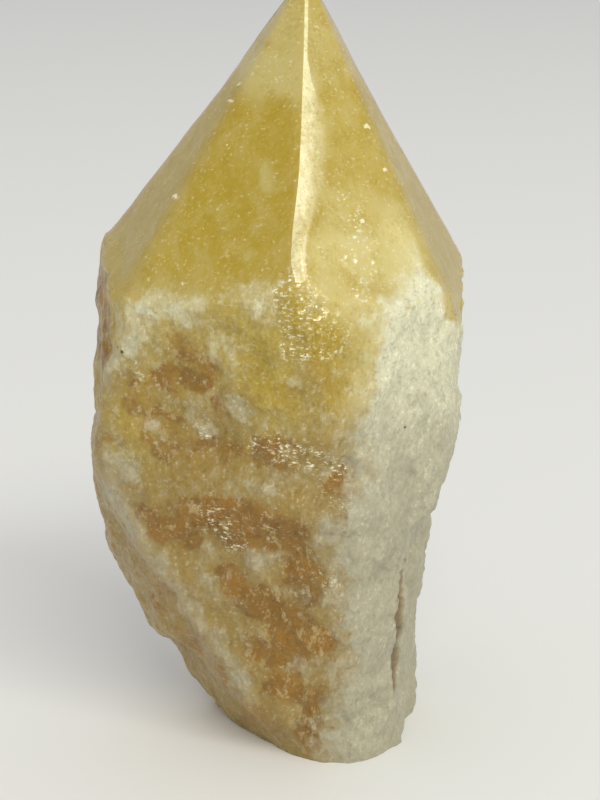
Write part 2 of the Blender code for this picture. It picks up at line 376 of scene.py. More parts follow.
class Shade:
    """One output of a shader node. Arithmetic on it adds Math nodes to the tree."""

    def __init__(self, tree, socket=None):
        self.tree = tree
        self.socket = socket

    def node(self, kind, settings=None, sockets=None, output=0):
        """Adds a node, sets its settings, then its sockets, and gives one of its outputs."""
        made = self.tree.nodes.new(kind)
        for name, value in (settings or {}).items():
            setattr(made, name, value)
        for name, value in (sockets or {}).items():
            if isinstance(value, Shade):
                self.tree.links.new(value.socket, made.inputs[name])
            else:
                made.inputs[name].default_value = value
        return None if output is None else Shade(self.tree, made.outputs[output])

    def math(self, operation, *values):
        return self.node("ShaderNodeMath", {"operation": operation}, dict(enumerate(values)))

    def __add__(self, other):
        return self.math("ADD", self, other)

    def __radd__(self, other):
        return self.math("ADD", other, self)

    def __sub__(self, other):
        return self.math("SUBTRACT", self, other)

    def __rsub__(self, other):
        return self.math("SUBTRACT", other, self)

    def __mul__(self, other):
        return self.math("MULTIPLY", self, other)

    def __rmul__(self, other):
        return self.math("MULTIPLY", other, self)

    def between(self, low, high):
        """0 at low and 1 at high, with a smooth rise between them."""
        return self.node(
            "ShaderNodeMapRange", {"interpolation_type": "SMOOTHSTEP"},
            {"Value": self, "From Min": low, "From Max": high},
        )

    def mixed(self, first, second, share):
        """The first colour under a share of the second one."""
        return self.node(
            "ShaderNodeMix", {"data_type": "RGBA"},
            {"Factor": share, 6: opaque(first), 7: opaque(second)}, output=2,
        )

    def under(self, other, share):
        """This colour under a share of the other one."""
        return self.mixed(self, other, share)

    def vector(self, operation, *values, output=0):
        return self.node("ShaderNodeVectorMath", {"operation": operation}, dict(enumerate(values)), output)

    def noise(self, place, size, detail=2.0, roughness=0.5, distortion=0.0, output=0):
        """Cloudy noise whose blobs are about size metres across."""
        return self.node(
            "ShaderNodeTexNoise", {"noise_dimensions": "3D"},
            {
                "Vector": place, "Scale": 1 / size, "Detail": detail, "Roughness": roughness,
                "Distortion": distortion,
            },
            output,
        )

    def cells(self, place, size, output=0):
        """Random cells about size metres across."""
        return self.node("ShaderNodeTexVoronoi", None, {"Vector": place, "Scale": 1 / size}, output)

    def bump(self, strength, distance, height, normal):
        return self.node(
            "ShaderNodeBump", None,
            {"Strength": strength, "Distance": distance, "Height": height, "Normal": normal},
        )


def smooth_step(low, high, values):
    """0 at low and 1 at high, with a smooth rise between them."""
    share = np.clip((values - low) / (high - low), 0.0, 1.0)
    return share * share * (3 - 2 * share)


def noise_at(points, size, seed=0.0):
    """Noise from -1 to 1 at each point, with blobs about size millimetres across."""
    return np.array([noise.noise(Vector(p) / size + Vector((seed, seed * 1.7, -seed))) for p in points])


def front_view_places(points):
    """Across and up, in millimetres from the middle of the photographed view, for points in millimetres."""
    distance = VIEW_DISTANCE / MM
    ray = points - np.array(VIEW_EYE / MM)
    depth = ray @ np.array(VIEW_FORWARD)
    return ray[:, 0] * distance / depth, ray @ np.array(VIEW_UPWARD) * distance / depth


def strokes_at(across, up, strokes):
    """The strongest of the strokes at each place, from 0 to 1."""
    found = np.zeros(len(across))
    for x1, y1, x2, y2, half_width, strength in strokes:
        length = max((x2 - x1) ** 2 + (y2 - y1) ** 2, 1e-6)
        share = np.clip(((across - x1) * (x2 - x1) + (up - y1) * (y2 - y1)) / length, 0.0, 1.0)
        gap = np.hypot(across - x1 - share * (x2 - x1), up - y1 - share * (y2 - y1))
        found = np.maximum(found, strength * (1 - smooth_step(0.35 * half_width, 1.6 * half_width, gap)))
    return found


def ground_normals():
    """The outward normals of the six ground faces."""
    normals = []
    for k, shoulder in enumerate(SHOULDERS):
        following = SHOULDERS[(k + 1) % len(SHOULDERS)]
        normals.append((shoulder - TIP).cross(following - TIP).normalized())
    return normals


def part_of(face, normals):
    """Which part of the stone a face of the solid belongs to: a broken side, a ground face, the worn front
    strip with the blunt tip, or the base."""
    places = [vert.co / MM for vert in face.verts]
    middle = sum(places, Vector()) / len(places)
    if all(place.z < 0.01 for place in places):
        return BASE
    if middle.z < GROUND_FROM:
        return BROKEN
    for k, normal in enumerate(normals):
        if all(abs((place - TIP).dot(normal)) < 0.02 for place in places):
            return FIRST_GROUND + k
    along = (SHOULDERS[0] - TIP).normalized()
    offset = middle - TIP
    beside = (offset - along * offset.dot(along)).length
    at_end = beside < STRIP_END_REACH and min(place.z for place in places) > STRIP_END
    return STRIP if middle.z > WORN_FROM or at_end else BROKEN


def fill_flat(mesh, part, number, loop_edges, normal, spacing):
    """Fills one flat region inside its edges with triangles of about the given size, in millimetres."""
    rim = list(dict.fromkeys(vert for edge in loop_edges for vert in edge.verts))
    order = {vert: k for k, vert in enumerate(rim)}
    across = normal.orthogonal().normalized()
    up = normal.cross(across)
    origin = rim[0].co.copy()
    flat = np.array([((vert.co - origin).dot(across) / MM, (vert.co - origin).dot(up) / MM) for vert in rim])
    low, high = flat.min(axis=0), flat.max(axis=0)
    rows = np.arange(low[1], high[1], spacing * 0.866)
    grid = [
        (x, y) for k, y in enumerate(rows)
        for x in np.arange(low[0] + (k % 2) * spacing / 2, high[0], spacing)
    ]
    inner = [place for place in grid if np.min(np.hypot(*(flat - place).T)) > 0.72 * spacing]
    places = [Vector(place) for place in flat] + [Vector(place) for place in inner]
    edges = [(order[edge.verts[0]], order[edge.verts[1]]) for edge in loop_edges]
    found, _, faces, origins, _, _ = geometry.delaunay_2d_cdt(places, edges, [], 1, 1e-4)
    made = {}
    for face in faces:
        corners = []
        for k in face:
            if k not in made:
                source = [s for s in origins[k] if s < len(rim)]
                if source:
                    made[k] = rim[source[0]]
                else:
                    made[k] = mesh.verts.new(origin + (across * found[k].x + up * found[k].y) * MM)
            corners.append(made[k])
        if len(set(corners)) == 3:
            mesh.faces.new(corners)[part] = number


def shape_strip(mesh, part, beside):
    """Gives the worn strip its own width, a slight swell, a crisp left line and a soft right one."""
    down = (SHOULDERS[0] - TIP).normalized()
    ways = []
    for neighbour in (SHOULDERS[5], SHOULDERS[1]):
        way = neighbour - TIP
        ways.append((way - down * way.dot(down)).normalized())
    outward = -(ways[0] + ways[1]).normalized()
    verts = list({vert for face in mesh.faces if face[part] == STRIP for vert in face.verts})
    rims = []
    for neighbour in (FIRST_GROUND + 5, FIRST_GROUND):
        both = 1 << STRIP | 1 << neighbour
        rim = {vert for edge in mesh.edges if edge[beside] & both == both for vert in edge.verts}
        offsets = sorted(((vert.co / MM - TIP).dot(down), vert.co / MM - TIP) for vert in rim)
        reach = [(place - down * along).length for along, place in offsets]
        rims.append([[along for along, _ in offsets], reach])
    low_end = [vert.co for vert in verts if any(face[part] == BROKEN for face in vert.link_faces)]
    distances, left_reach, right_reach = zip(*STRIP_REACH)
    for vert in verts:
        place = vert.co / MM - TIP
        along = place.dot(down)
        left, right = (way * np.interp(along, *rim) for way, rim in zip(ways, rims))
        share = (place - down * along - left).dot(right - left) / max((right - left).length_squared, 1e-9)
        share = min(max(share, 0.0), 1.0)
        new_left = ways[0] * np.interp(along, distances, left_reach)
        new_right = ways[1] * np.interp(along, distances, right_reach)
        swell = 4 * STRIP_SWELL * share * (1 - share) * (new_right - new_left).length
        target = TIP + down * along + new_left.lerp(new_right, share) + outward * swell
        gap = min((vert.co - end).length for end in low_end) / MM
        weight = float(smooth_step(2.5, 6.0, along) * smooth_step(0.2, 3.0, gap))
        vert.co = vert.co.lerp(target * MM, weight)


def refine(mesh, cuts, fine, coarse):
    """Divides the broken sides evenly, and fills the ground faces and the base anew with small triangles."""
    bmesh.ops.remove_doubles(mesh, verts=mesh.verts, dist=0.001 * MM)
    mesh.normal_update()
    part = mesh.faces.layers.int.new("part")
    beside = mesh.edges.layers.int.new("beside")
    normals = ground_normals()
    for face in mesh.faces:
        face[part] = part_of(face, normals)
    flats = set(range(FIRST_GROUND, FIRST_GROUND + 6)) | {BASE}
    inside = []
    for edge in mesh.edges:
        around = {face[part] for face in edge.link_faces}
        if len(around) == 1 and around & flats:
            inside.append(edge)
        edge[beside] = sum(1 << number for number in around)
    flat_faces = [face for face in mesh.faces if face[part] in flats]
    bmesh.ops.delete(mesh, geom=flat_faces, context="FACES_ONLY")
    bmesh.ops.delete(mesh, geom=[edge for edge in inside if edge.is_valid], context="EDGES")
    bmesh.ops.delete(mesh, geom=[vert for vert in mesh.verts if not vert.link_edges], context="VERTS")
    by_cuts = {}
    for edge in mesh.edges:
        if edge[beside] & 1 << BROKEN:
            by_cuts.setdefault(cuts, []).append(edge)
        elif edge[beside] & 1 << STRIP:
            by_cuts.setdefault(STRIP_CUTS, []).append(edge)
        else:
            needed = math.ceil(edge.calc_length() / (fine * MM)) - 1
            by_cuts.setdefault(needed, []).append(edge)
    for needed, edges in by_cuts.items():
        if needed:
            bmesh.ops.subdivide_edges(mesh, edges=edges, cuts=needed, use_grid_fill=True)
    bmesh.ops.triangulate(mesh, faces=[face for face in mesh.faces if len(face.verts) > 3])
    shape_strip(mesh, part, beside)
    for number in sorted(flats):
        loop_edges = [
            edge for edge in mesh.edges if edge[beside] & 1 << number and len(edge.link_faces) < 2
        ]
        base = number == BASE
        normal = Vector((0, 0, -1)) if base else normals[number - FIRST_GROUND]
        fill_flat(mesh, part, number, loop_edges, normal, coarse if base else fine)
    bmesh.ops.recalc_face_normals(mesh, faces=mesh.faces)
    bmesh.ops.delete(mesh, geom=[vert for vert in mesh.verts if not vert.link_faces], context="VERTS")
    mesh.normal_update()
    return part


def on_sharp_line(edge, part):
    """Whether an edge is on the crisp left line of the worn front strip."""
    return {face[part] for face in edge.link_faces} == {FIRST_GROUND + 5, STRIP}


def even(mesh, verts, rounds=1):
    """Moves each of the points halfway towards the middle of its neighbours, in every round."""
    for _ in range(rounds):
        bmesh.ops.smooth_vert(mesh, verts=verts, factor=0.5, use_axis_x=True, use_axis_y=True, use_axis_z=True)


def soften(mesh, part):
    """Rounds the broken sides and the edges of the tip, apart from the crisp left line of the worn strip."""
    even(mesh, [vert for vert in mesh.verts if all(face[part] == BROKEN for face in vert.link_faces)], 5)
    lines = [(shoulder - TIP).normalized() for shoulder in SHOULDERS[1:]]
    rounded, soft_line = [], []
    for vert in mesh.verts:
        numbers = {face[part] for face in vert.link_faces}
        if numbers & {BROKEN, BASE} or numbers >= {STRIP, FIRST_GROUND + 5}:
            continue
        offset = vert.co / MM - TIP
        gap = min((offset - line * offset.dot(line)).length for line in lines)
        if STRIP in numbers:
            soft_line.append(vert)
        elif gap < min(4.0, 0.25 * offset.length):
            rounded.append(vert)
    before = [vert.co.copy() for vert in rounded]
    even(mesh, rounded, 16)
    # Near the tip the faces are narrow, so they are rounded less there.
    for vert, old in zip(rounded, before):
        vert.co = old.lerp(vert.co, float(smooth_step(6.0, 30.0, (old / MM - TIP).length)))
    even(mesh, soft_line)


def round_shoulders(mesh):
    """Rounds the corners where the ground faces meet the broken sides, all but the front one."""
    corners = [
        vert for vert in mesh.verts
        if min((vert.co / MM - shoulder).length for shoulder in SHOULDERS[1:]) < SHOULDER_REACH
    ]
    even(mesh, corners, SHOULDER_ROUNDS)


def spread(values, mesh, rounds):
    """Blurs a value over the mesh, each point taking the mean of its neighbours in every round."""
    pairs = np.array([[vert.index for vert in edge.verts] for edge in mesh.edges])
    ends = np.concatenate((pairs, pairs[:, ::-1]))
    count = np.bincount(ends[:, 0], minlength=len(values))
    for _ in range(rounds):
        total = np.bincount(ends[:, 0], weights=values[ends[:, 1]], minlength=len(values))
        values = 0.5 * values + 0.5 * total / count
    return values


def grains(points, size, seed):
    """For each point the centre of the crystal grain that it lies in, and that grain's number from 0 to 1."""
    shift = Vector((seed, -seed, 2 * seed))
    centres = np.array([noise.voronoi(Vector(p) / size + shift)[1][0] for p in points])
    numbers = np.modf(np.abs(np.sin(centres @ (12.9898, 78.233, 37.719)) * 43758.5453))[0]
    return (centres - np.array(shift)) * size, numbers


def seen_places(mesh, places):
    """The places on the stone, in millimetres, that are seen at the given ones of the photographed view."""
    tree = bvhtree.BVHTree.FromBMesh(mesh)
    aims = [VIEW_AIM + (Vector((across, 0, 0)) + VIEW_UPWARD * up) * MM for across, up in places]
    return [tree.ray_cast(VIEW_EYE, aim - VIEW_EYE)[0] / MM for aim in aims]


def cracks_at(mesh, points):
    """How deep in a crack each point is, from 0 to 1."""
    found = np.zeros(len(points))
    ragged = 1 + 0.7 * noise_at(points, 1.1, 3.0)
    for x1, y1, x2, y2, width, strength in CRACKS:
        count = math.ceil(math.hypot(x2 - x1, y2 - y1) / CRACK_SPACING) + 1
        line = seen_places(mesh, zip(np.linspace(x1, x2, count), np.linspace(y1, y2, count)))
        tree = kdtree.KDTree(count)
        for k in range(count):
            around = line[max(k - CRACK_EASE, 0):k + CRACK_EASE + 1]
            tree.insert(sum(around, Vector()) / len(around), k)
        tree.balance()
        _, numbers, gaps = zip(*(tree.find(point) for point in points))
        shares = np.array(numbers) / (count - 1)
        widths = width * np.interp(shares, (0.0, 0.3, 0.7, 1.0), (0.3, 1.0, 1.0, 0.3))
        gaps = np.array(gaps) * ragged / widths
        found = np.maximum(found, strength * (1 - smooth_step(0.15, 1.0, gaps)))
    return found


class Marks:
    """The marks of the stone at each of its points, from 0 to 1."""

    def __init__(self, mesh, points, normals, ground, polish):
        self.front = smooth_step(-0.3, 0.08, normals @ -np.array(VIEW_FORWARD))
        self.still = ground
        self.ground = polish
        self.side_facet = polish * smooth_step(0.52, 0.72, normals[:, 0])
        warp = np.array([
            noise.noise_vector(Vector(p) / 4.2) * 1.2 + noise.noise_vector(Vector(p) / 1.5) * 0.5
            for p in points
        ])
        self.mark_grains(mesh, points, warp)
        self.mark_tip(points, warp)

    def mark_grains(self, mesh, points, warp):
        """Crust, windows, glints and cracks, which keep to whole crystal grains in part."""
        large, large_numbers = grains(points + 0.5 * warp, LARGE_GRAIN, 5.0)
        small, small_numbers = grains(points + 0.4 * warp, SMALL_GRAIN, 9.0)
        self.crack = cracks_at(mesh, points + 0.45 * warp)
        own, big, little = (self.fields(places + warp, places) for places in (points, large, small))
        self.crust, self.deep, self.glint = 0.3 * own + 0.32 * big + 0.38 * little
        self.tone = 0.45 * large_numbers + 0.55 * small_numbers
        uneven = (1 - 0.5 * self.ground) * (self.tone - 0.5)
        self.haze = spread(np.clip(self.crust, 0, 1), mesh, 110)
        self.crust += 0.5 * uneven * smooth_step(0.02, 0.3, self.crust) * smooth_step(1.1, 0.7, self.crust)
        self.deep += 0.5 * uneven * smooth_step(0.02, 0.3, self.deep)
        self.grit = noise_at(points, 0.8, 4.0)
        self.step = (large_numbers - 0.5) + 0.6 * (small_numbers - 0.5)

    def mark_tip(self, points, warp):
        """Milky clouds, pale zones and white flecks."""
        across, up = front_view_places(points + 0.6 * warp)
        top = smooth_step(108.0, 118.0, points[:, 2] + 2 * noise_at(points, 7.0, 2.0))
        clouds = strokes_at(across, up, MILKY_CLOUDS)
        self.milk = (self.front * clouds + (1 - self.front) * top * 0.75) * self.still
        self.pale = self.front * strokes_at(across, up, PALE_ZONES) * (1 - self.side_facet)
        flecks = [(x, y, x + 0.2, y + 0.15, 0.8 * width, 1.0) for x, y, width in FLECKS]
        found = strokes_at(*front_view_places(points + 0.12 * warp), flecks)
        self.fleck = found * self.front * self.still

    def fields(self, warped, points):
        """How much crust, clear window and glinting there is around the given places."""
        across, up = front_view_places(warped)
        blobs = noise_at(points, 9.0, 2.0) + 0.5 * noise_at(points, 3.6, 5.0)
        flakes = noise_at(points, 3.0, 7.0)
        heights, borders = zip(*RIGHT_CRUST_BORDER)
        border = np.interp(up, heights, borders)
        fade = smooth_step(36.0, 15.0, up + 0.45 * (18.0 - across))
        right_crust = smooth_step(-4.0, 5.5, across - border + 2.4 * blobs + flakes)
        right_crust *= (0.05 + 0.95 * fade) * (up < 38) * (1 - self.side_facet)
        front_crust = np.maximum(0.66 * strokes_at(across, up, WHITE_CRUST), right_crust)
        bare = strokes_at(across, up, BARE_EDGES) * self.front
        front_crust *= (1 - 0.6 * self.crack) * (1 - bare)
        stray = 0.3 * smooth_step(0.0, 0.6, flakes) * (1 - self.ground) * (1 - bare)
        right_side = smooth_step(14.0, 24.0, points[:, 0] + 4 * blobs) * smooth_step(96.0, 84.0, points[:, 2])
        back_crust = np.maximum(0.8 * smooth_step(0.0, 0.6, blobs + 0.3 * flakes), 0.95 * right_side)
        back_crust *= 1 - self.ground
        crust = np.maximum(self.front * front_crust + (1 - self.front) * back_crust, stray)
        front_deep = strokes_at(across, up, DEEP_WINDOWS)
        back_deep = 0.75 * smooth_step(0.0, -0.5, blobs)
        deep = (self.front * front_deep + (1 - self.front) * back_deep) * (1 - self.ground)
        glint = np.maximum(self.front * strokes_at(across, up, GLINTING), 0.3 * (1 - self.ground))
        return np.array((crust, deep, glint))


def add_relief(mesh, marks, grain):
    """Moves the points of the broken sides along their normals, and those of the outer edges."""
    points = np.array([vert.co for vert in mesh.verts]) / MM
    relief = sum(height * noise_at(points, size, seed) for height, size, seed in LUMPS)
    relief += GRAIN_STEP * marks.step * (1 - 0.5 * marks.crust)
    thick = smooth_step(0.25, 0.6, marks.crust)
    relief += thick * (CRUST_HEIGHT + CRUST_LUMPS * noise_at(points, 2.6, 8.0))
    relief += grain / MM * marks.grit * (0.5 + 0.9 * marks.crust)
    relief -= WINDOW_DEPTH * marks.deep + CRACK_DEPTH * marks.crack
    across, up = front_view_places(points)
    moves = relief * (1 - marks.still) * smooth_step(0.5, 0.12, marks.ground)
    moves += marks.front * (strokes_at(across, up, OUTER_SWELLS) - strokes_at(across, up, OUTER_HOLLOWS))
    # The rim of the sawn base stays where it is.
    moves *= smooth_step(0.0, 1.2, points[:, 2])
    for vert, move in zip(mesh.verts, moves):
        vert.co += vert.normal * float(move) * MM


def write_marks(data, marks):
    for name in MARK_NAMES:
        layer = data.attributes.new(name, "FLOAT", "POINT")
        layer.data.foreach_set("value", np.clip(getattr(marks, name), 0, 1).astype(np.float32))


def write_wear_and_highlight(data, points):
    """Marks the worn front strip, whose pale colour also stands for its painted highlight: whole inside its
    crisp left line, fading over the face on its right.
    """
    down = np.array((SHOULDERS[0] - TIP).normalized())
    offsets = points - np.array(TIP)
    along = offsets @ down
    beside = offsets - along[:, None] * down
    distances, _, right_reach = zip(*STRIP_REACH)
    gap = np.linalg.norm(beside, axis=1) - np.interp(along, distances, right_reach)
    reach = WEAR_AND_HIGHLIGHT_FADE * np.interp(along, (17.0, 24.0, 40.0, 46.0), (0.1, 1.0, 1.0, 0.2))
    fade = 0.5 * smooth_step(1.0, 0.0, gap / reach) * smooth_step(57.0, 52.0, along)
    right = np.array(SHOULDERS[1] - TIP)
    right -= down * (right @ down)
    lateral = beside @ (right / np.linalg.norm(right)) / np.interp(along, distances, right_reach)
    # The painted highlight is strongest at the crisp left line and weaker towards the right one.
    inside = 1 - 0.5 * smooth_step(0.15, 1.0, lateral) * smooth_step(17.0, 24.0, along)
    corners = np.empty(len(data.loops), int)
    data.loops.foreach_get("vertex_index", corners)
    parts = np.empty(len(data.polygons), int)
    data.attributes["part"].data.foreach_get("value", parts)
    parts = np.repeat(parts, 3)
    worn = np.where(parts == STRIP, inside[corners], np.where(parts == FIRST_GROUND, fade[corners], 0.0))
    layer = data.attributes.new("wear", "FLOAT", "CORNER")
    layer.data.foreach_set("value", worn.astype(np.float32))


def make_stone(settings):
    """The stone as one fine mesh made from its solid."""
    noise.seed_set(NOISE_SEED)
    mesh = bmesh.new()
    mesh.from_mesh(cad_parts[NODE].data)
    part = refine(mesh, settings.cuts, settings.fine / MM, BASE_SPACING)
    soften(mesh, part)
    round_shoulders(mesh)
    mesh.normal_update()
    points = np.array([vert.co for vert in mesh.verts]) / MM
    normals = np.array([vert.normal for vert in mesh.verts])
    ground = np.array([
        float(any(FIRST_GROUND <= face[part] <= STRIP for face in vert.link_faces)) for vert in mesh.verts
    ])
    mesh.verts.index_update()
    marks = Marks(mesh, points, normals, ground, spread(ground, mesh, 12))
    add_relief(mesh, marks, settings.grain)
    round_shoulders(mesh)
    mesh.normal_update()
    for face in mesh.faces:
        face.smooth = True
    for edge in mesh.edges:
        parts = {face[part] for face in edge.link_faces}
        edge.smooth = not (on_sharp_line(edge, part) or BASE in parts and len(parts) > 1)
    data = bpy.data.meshes.new("calcite_stone")
    mesh.to_mesh(data)
    dirt = seen_places(mesh, [(across, up) for across, up, _, _ in DIRT])
    mesh.free()
    write_marks(data, marks)
    write_wear_and_highlight(data, points)
    stone = bpy.data.objects.new("calcite_stone", data)
    bpy.context.scene.collection.objects.link(stone)
    return stone, dirt


class StoneTextures:
    """The stone's marks, and the noises that its colours and bumps are mixed from."""

    def __init__(self, tree):
        self.start = start = Shade(tree)
        for name in (*MARK_NAMES, "wear"):
            setattr(self, name, start.node("ShaderNodeAttribute", {"attribute_name": name}, output="Fac"))
        self.broken = 1 - self.ground
        self.place = place = start.node("ShaderNodeTexCoord", output="Object")
        upright = start.vector("MULTIPLY", place, (1.0, 1.0, 0.62))
        lying = start.vector("MULTIPLY", place, (1.0, 1.0, 2.8))
        leaning = start.node(
            "ShaderNodeMapping", {"vector_type": "TEXTURE"},
            {"Vector": place, "Rotation": (0.5, 0.45, 0.0), "Scale": (1.0, 1.0, 3.2)},
        )
        self.curds = start.noise(upright, 3.4 * MM, 7.0, 0.68, 0.4)
        self.specks = start.noise(upright, 1.3 * MM, 5.0, 0.7)
        self.sugar = start.noise(place, 0.6 * MM, 3.0, 0.65)
        self.fibres = start.noise(leaning, 0.5 * MM, 3.0, 0.6, 0.3)
        self.dashes = start.noise(lying, 1.1 * MM, 3.0, 0.6, 0.8)
        self.dark_amber = start.noise(upright, 5.0 * MM, 3.0, 0.6).between(0.4, 0.6)
        self.crystals = start.cells(place, 0.6 * MM, output="Color")
        self.picked = start.node("ShaderNodeSeparateColor", None, {"Color": self.crystals}, "Blue")
        # How far down a place is: the clear stone is darker towards the bottom, and the crust is greyer there
        # by painted shade.
        height = start.node("ShaderNodeSeparateXYZ", None, {"Vector": place}, 2)
        drift = start.noise(place, 15 * MM, 3.0) - 0.5
        self.low = (height + drift * 60 * MM).between(86 * MM, 46 * MM)
        self.low_crust_shade = (height + drift * 40 * MM).between(88 * MM, 38 * MM)


def clear_colour(stone, settings):
    """The clear stone: honey with amber windows, milky clouds, pale zones and thin wisps."""
    veil = stone.start.mixed(settings.veil, LOW_VEIL, stone.low)
    colour = stone.start.mixed(settings.honey, settings.body, stone.low * stone.broken)
    colour = colour.under(veil, stone.haze.between(0.05, 0.62) * 0.62)
    window = (stone.deep + (stone.curds - 0.5) + (stone.specks - 0.5) * 0.5).between(0.16, 0.8) * stone.broken
    amber = stone.start.mixed(settings.amber, darker(settings.amber, 0.76), stone.dark_amber)
    colour = colour.under(amber, window * (0.78 + 0.2 * stone.tone))
    cloud = stone.milk * 0.7 + (stone.milk + (stone.curds - 0.5) * 1.2).between(0.25, 0.75) * 0.3
    colour = colour.under(settings.milk, cloud * stone.ground)
    pale = stone.start.mixed(settings.pale, LOW_PALE, stone.low)
    pale_share = stone.pale * (0.72 + 0.5 * (stone.curds - 0.5) + 0.4 * (stone.specks - 0.5))
    colour = colour.under(pale, pale_share * (1 - 0.3 * window))
    silk = stone.curds.between(0.42, 0.64) * 0.34
    silk = silk + stone.fibres.between(0.46, 0.66) * (0.2 - 0.1 * stone.ground)
    colour = colour.under(veil, silk * (0.72 - 0.5 * window))
    flakes = (stone.curds * 0.5 + stone.specks * 0.5).between(0.54, 0.575) * stone.broken
    colour = colour.under(tinted(settings.veil, 1.0, 0.93, 0.85), flakes * (0.16 + 0.3 * window))
    mottle = (stone.specks * 0.55 + stone.sugar * 0.45).between(0.505, 0.565) * stone.broken
    colour = colour.under(veil, mottle * (0.3 - 0.16 * window))
    shade = (stone.curds * 0.6 + stone.fibres * 0.4).between(0.5, 0.38) * 0.22
    return colour.under(SHADE, shade * (1 - window) * (0.4 + 0.6 * stone.ground))


def add_glints(stone, colour):
    """The colour with its painted glints, white flecks, pits of painted shade and the pale worn strip with its
    painted highlight, and where the glints flash like mirrors.
    """
    # Sparkles are painted glints in the colour.
    sparkle = (stone.fibres * 0.3 + stone.dashes * 0.35 + stone.sugar * 0.35).between(0.54, 0.6)
    sparkle = sparkle * stone.specks.between(0.42, 0.54)
    sparkle = sparkle * (stone.glint.between(0.25, 1.0) + 0.22 + 0.1 * stone.ground)
    colour = colour.under(PAINTED_GLINT_AND_FLECK, sparkle * 0.85)
    # Flashes mirror the light through their metal share and are also painted as glints in the colour.
    flash = stone.dashes.between(0.515, 0.585) * stone.picked.between(0.25, 0.45)
    flash = flash * (stone.specks + stone.glint * 0.14).between(0.5, 0.6)
    flash = flash * stone.glint.between(0.3, 0.8) * (1 - 0.4 * stone.ground)
    flash = flash * (0.3 + 0.7 * stone.curds.between(0.42, 0.54))
    colour = colour.under(PAINTED_GLINT_AND_FLECK, flash * 0.8)
    colour = colour.under(PAINTED_GLINT_AND_FLECK, (stone.fleck + (stone.sugar - 0.5) * 1.4).between(0.45, 0.75) * 0.7)
    # Dark specks are painted shade in small hollows.
    pits = (stone.sugar * 0.5 + stone.specks * 0.5).between(0.47, 0.36) * stone.broken
    colour = colour.under(PIT_SHADE, pits * 0.26)
    # The worn strip's pale colour is partly real wear and partly a painted highlight.
    worn = stone.wear * (0.5 + 1.3 * (stone.specks - 0.5)) * (1 - 0.6 * stone.sugar.between(0.44, 0.36))
    return colour.under(WORN_HIGHLIGHT, worn), flash


def crust_colour(stone, settings):
    """The white crust, greyer lower down by painted shade, with its pits of painted shade and its painted
    glints.
    """
    # A shaded copy of the crust colour, painted lower down and in the less grainy places.
    shaded_grey = tinted(settings.crust, 0.56, 0.53, 0.52)
    white = stone.start.mixed(settings.crust, shaded_grey, stone.low_crust_shade * 0.9)
    grainy = (stone.fibres * 0.3 + stone.specks * 0.3 + stone.curds * 0.4).between(0.38, 0.6)
    white = white.under(darker(shaded_grey, 0.72), (1 - grainy) * (0.3 + 0.35 * stone.low_crust_shade))
    # Darker specks are painted shade in small hollows, weaker lower down.
    pits = (stone.sugar * 0.6 + stone.specks * 0.4).between(0.48, 0.4)
    white = white.under(darker(shaded_grey, 0.55), pits * (0.35 - 0.25 * stone.low_crust_shade))
    # Painted glints in the crust, fewer lower down.
    glints = grainy.between(0.6, 0.95) * stone.sugar.between(0.53, 0.62)
    return white.under(PAINTED_GLINT_AND_FLECK, glints * (0.6 - 0.35 * stone.low_crust_shade))


def crust_share(stone):
    """How much of the surface is crust: most of it where that is thick, little at its ragged outlines."""
    ragged = (stone.specks - 0.5) * 0.9 + (stone.curds - 0.5) * 0.9
    cover = (stone.crust + ragged * (0.3 + 0.7 * stone.crust.between(0.02, 0.35))).between(0.16, 0.72)
    return cover * (0.43 + 0.49 * stone.crust.between(0.6, 0.95))


def soil_share(stone, dirt):
    """How much each place is covered by the specks of dirt."""
    strength = (DIRT_WANDER * MM,) * 3
    wander = stone.start.vector("MULTIPLY", stone.start.noise(stone.place, 0.5 * MM, output=1), strength)
    wander = stone.start.vector("ADD", stone.place, wander)
    specks = []
    for spot, (_, _, radius, strength) in zip(dirt, DIRT):
        # The noise moves each place by half its range on average, so the speck's middle is moved as far.
        centre = tuple((spot + Vector((0.5, 0.5, 0.5)) * DIRT_WANDER) * MM)
        gap = stone.start.vector("DISTANCE", wander, centre, output="Value")
        specks.append(gap.between(1.1 * radius * MM, 0.7 * radius * MM) * strength)
    return sum(specks)


